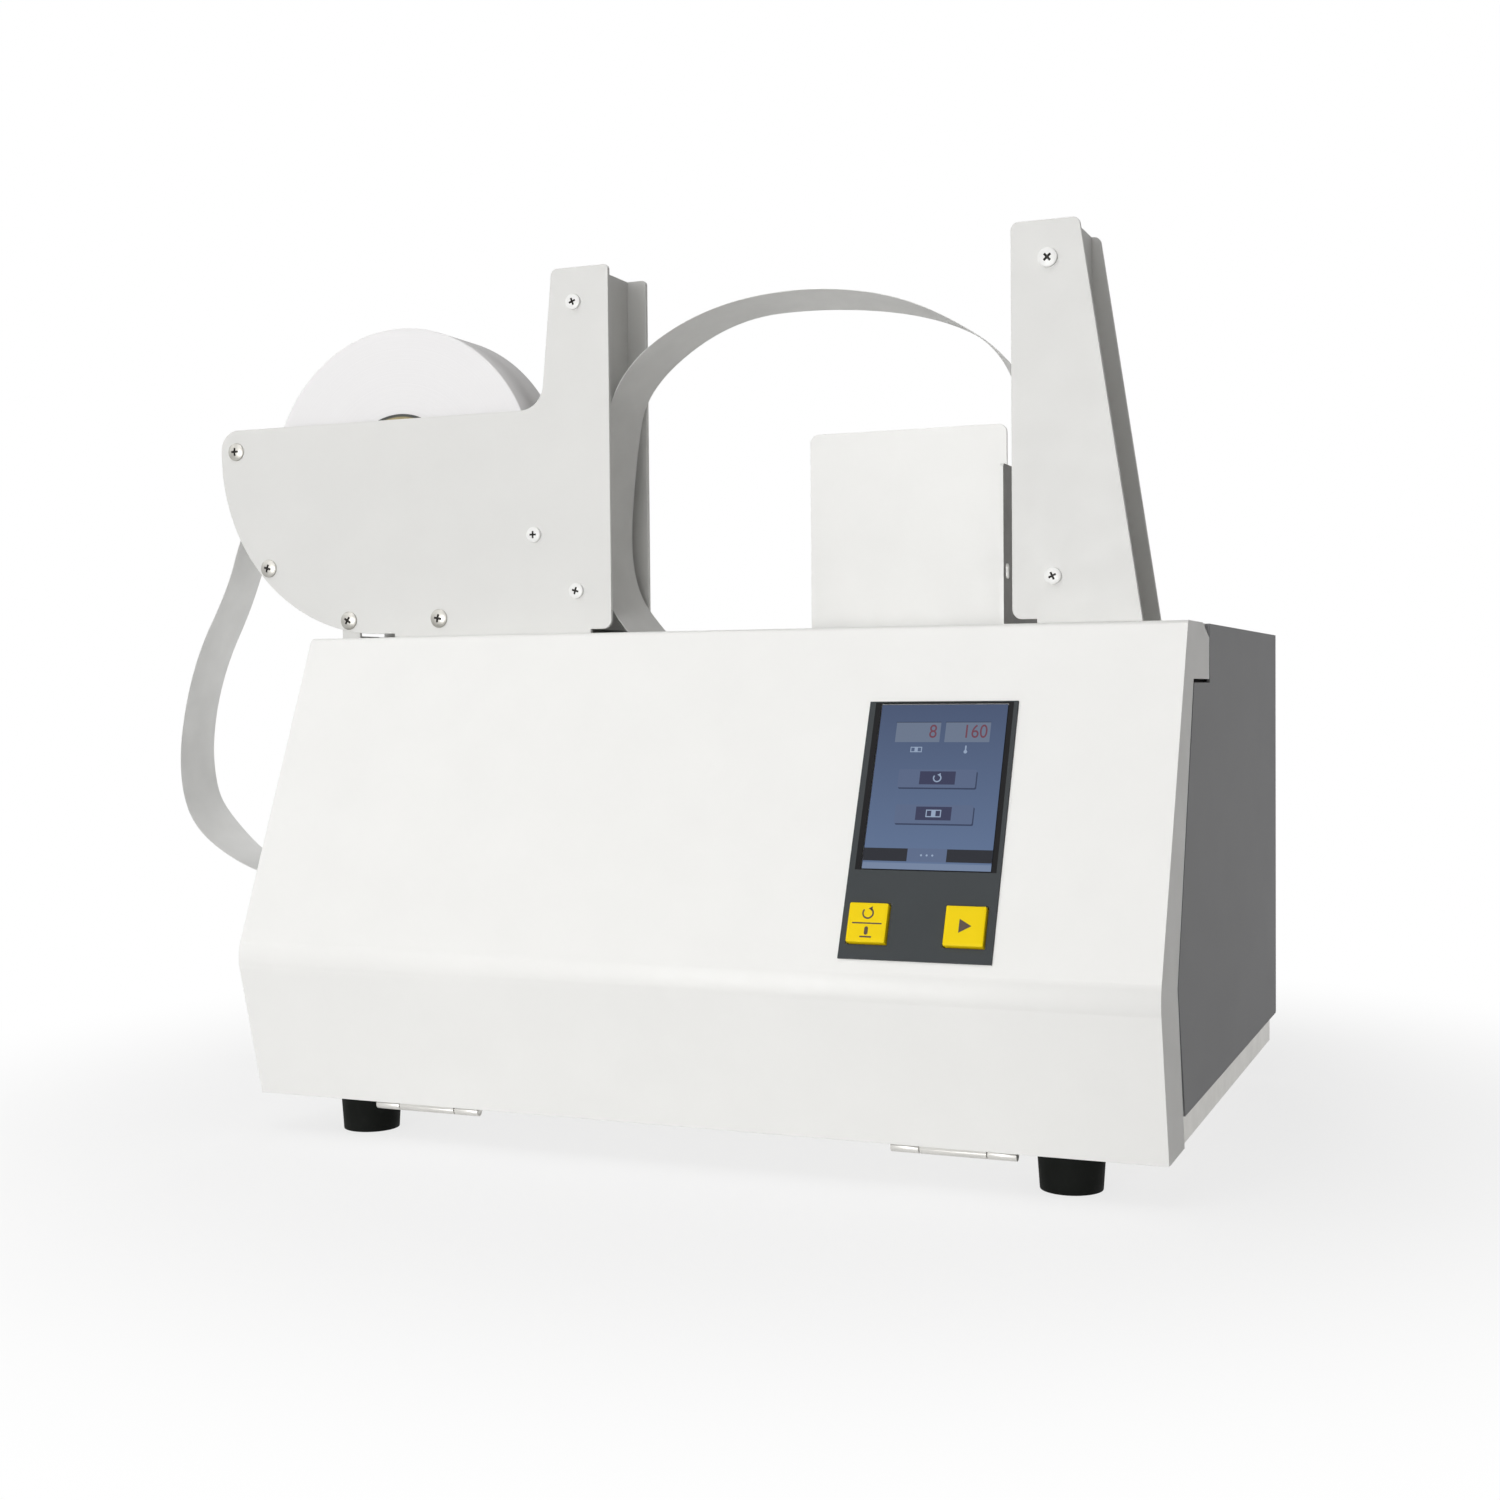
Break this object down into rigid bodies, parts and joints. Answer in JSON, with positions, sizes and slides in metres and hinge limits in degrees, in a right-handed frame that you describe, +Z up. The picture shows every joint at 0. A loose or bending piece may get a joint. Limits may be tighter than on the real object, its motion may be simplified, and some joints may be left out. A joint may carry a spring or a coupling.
{
  "type": "banknote strapping machine",
  "caption": "Desktop machine that wraps a paper band round a stack of notes: dark housing, hinged sloping front cover, screen, paper roll, tape arch, towers and stops.",
  "frame": {"origin": "centre of the four rubber feet, on the table the machine stands on", "axes": "+X to the operator's right along the width, +Y to the back, +Z up"},
  "size_m": [0.4843, 0.306, 0.3715],
  "materials": {
    "cover_paint": "satin off-white powder coat",
    "tower_paint": "satin light grey powder coat",
    "shell_paint": "matte dark grey powder coat",
    "deck_steel": "satin off-white powder coat",
    "base_steel": "zinc-plated sheet steel",
    "foot_rubber": "matte black rubber",
    "steel_pin": "turned steel",
    "white_screw": "white-coated screw",
    "paper_tape": "white paper tape",
    "core_card": "wound card",
    "hub_plastic": "black moulded plastic",
    "overlay_film": "charcoal printed film",
    "screen_glass": "glossy display window",
    "module_plastic": "dark plastic",
    "key_yellow": "yellow plastic",
    "board_green": "green circuit board",
    "plate_steel": "zinc-plated sheet steel",
    "bush_brass": "sintered bronze",
    "roller_rubber": "grippy dark rubber",
    "gear_nylon": "natural nylon",
    "pinion_brass": "cut brass",
    "motor_can": "plated motor can",
    "chute_sheet": "thin plastic guide",
    "cam_steel": "ground tool steel",
    "heater_aluminium": "machined aluminium",
    "supply_case": "perforated sheet steel",
    "black_plastic": "black moulded plastic"
  },
  "bodies": {
    "chassis": {"base_tray": "base_steel", "cam_motor": "motor_can", "drive_plate": "plate_steel", "feed_chute": "chute_sheet", "feed_motor": "motor_can", "guide_tower_back_plate": "tower_paint", "guide_tower_front_plate": "tower_paint", "guide_tower_web": "tower_paint", "hinge_left_base_leaf": "base_steel", "hinge_pins": "steel_pin", "hinge_right_base_leaf": "base_steel", "holder_back_plate": "tower_paint", "holder_brackets": "tower_paint", "holder_front_plate": "tower_paint", "holder_web": "tower_paint", "main_board": "board_green", "mains_inlet": "black_plastic", "power_supply": "supply_case", "press_guide": "plate_steel", "press_rods": "steel_pin", "roll_spindle": "steel_pin", "rubber_feet": "foot_rubber", "sealing_anvil": "heater_aluminium", "shaft_bushes": "bush_brass", "side_shell": "shell_paint", "spacer_rods": "steel_pin", "spacer_screws": "steel_pin", "switch_frame": "black_plastic", "tape_arch": "paper_tape", "tape_feed_loop": "paper_tape", "tower_screws": "white_screw", "work_deck": "deck_steel"},
    "cover": {"front_cover": "cover_paint", "hinge_left_cover_leaf": "base_steel", "hinge_right_cover_leaf": "base_steel", "panel_overlay": "overlay_film", "screen_window": "screen_glass", "screen_module": "module_plastic", "key_board": "board_green"},
    "key_left_body": {"key_left": "key_yellow"},
    "key_right_body": {"key_right": "key_yellow"},
    "tape_roll": {"tape_roll_paper": "paper_tape", "tape_roll_core": "core_card", "tape_roll_hub": "hub_plastic"},
    "stops": {"back_stop": "cover_paint", "side_guide": "cover_paint", "stop_clamp_screws": "steel_pin"},
    "feed_drive": {"feed_shaft": "steel_pin", "feed_roller": "roller_rubber", "feed_gear": "gear_nylon"},
    "pinch_drive": {"pinch_roller": "roller_rubber"},
    "feed_motor_shaft": {"feed_pinion": "pinion_brass"},
    "cam_drive": {"press_cam": "cam_steel", "cam_shaft": "steel_pin", "cam_gear": "gear_nylon"},
    "cam_motor_shaft": {"cam_pinion": "pinion_brass"},
    "press": {"press_carriage": "cam_steel", "heater_block": "heater_aluminium", "cutter_blade": "cam_steel"},
    "rocker": {"switch_rocker": "black_plastic"}
  },
  "joints": [
    {"name": "cover_hinge", "type": "hinge", "parent": "chassis", "child": "cover", "pos_m": [0, -0.14257, 0.0149], "axis": [1, 0, 0], "range_deg": [0, 80]},
    {"name": "key_left_press", "type": "slide", "parent": "cover", "child": "key_left_body", "axis": [0, 0.92, -0.3919], "range_m": [0, 0.0008], "stiffness_N_per_m": 800, "springref_m": -0.001},
    {"name": "key_right_press", "type": "slide", "parent": "cover", "child": "key_right_body", "axis": [0, 0.92, -0.3919], "range_m": [0, 0.0008], "stiffness_N_per_m": 800, "springref_m": -0.001},
    {"name": "roll_spin", "type": "hinge", "parent": "chassis", "child": "tape_roll", "pos_m": [-0.1626, -0.066, 0.2846], "axis": [0, 1, 0], "continuous": true},
    {"name": "stops_slide", "type": "slide", "parent": "chassis", "child": "stops", "axis": [0, 1, 0], "range_m": [-0.02, 0.02]},
    {"name": "feed_spin", "type": "hinge", "parent": "chassis", "child": "feed_drive", "pos_m": [-0.148, -0.066, 0.0898], "axis": [0, 1, 0], "continuous": true},
    {"name": "pinch_spin", "type": "hinge", "parent": "chassis", "child": "pinch_drive", "pos_m": [-0.148, -0.066, 0.1122], "axis": [0, 1, 0], "continuous": true},
    {"name": "feed_motor_spin", "type": "hinge", "parent": "chassis", "child": "feed_motor_shaft", "pos_m": [-0.148, -0.046, 0.0648], "axis": [0, 1, 0], "continuous": true},
    {"name": "cam_turn", "type": "hinge", "parent": "chassis", "child": "cam_drive", "pos_m": [0.035, -0.066, 0.112], "axis": [0, 1, 0], "range_deg": [0, 150]},
    {"name": "cam_motor_spin", "type": "hinge", "parent": "chassis", "child": "cam_motor_shaft", "pos_m": [0.035, -0.046, 0.077], "axis": [0, 1, 0], "range_deg": [-375, 0]},
    {"name": "press_lift", "type": "slide", "parent": "chassis", "child": "press", "axis": [0, 0, 1], "range_m": [0, 0.008]},
    {"name": "rocker_tilt", "type": "hinge", "parent": "chassis", "child": "rocker", "pos_m": [0.1, 0.1385, 0.066], "axis": [1, 0, 0], "range_deg": [-18, 0]}
  ],
  "couplings": [
    {"joint": "pinch_spin", "follows": "feed_spin", "ratio": -1.2},
    {"joint": "feed_motor_spin", "follows": "feed_spin", "ratio": -1.5},
    {"joint": "cam_turn", "follows": "press_lift", "rad_per_m": 327.25},
    {"joint": "cam_motor_spin", "follows": "press_lift", "rad_per_m": -818.12}
  ]
}
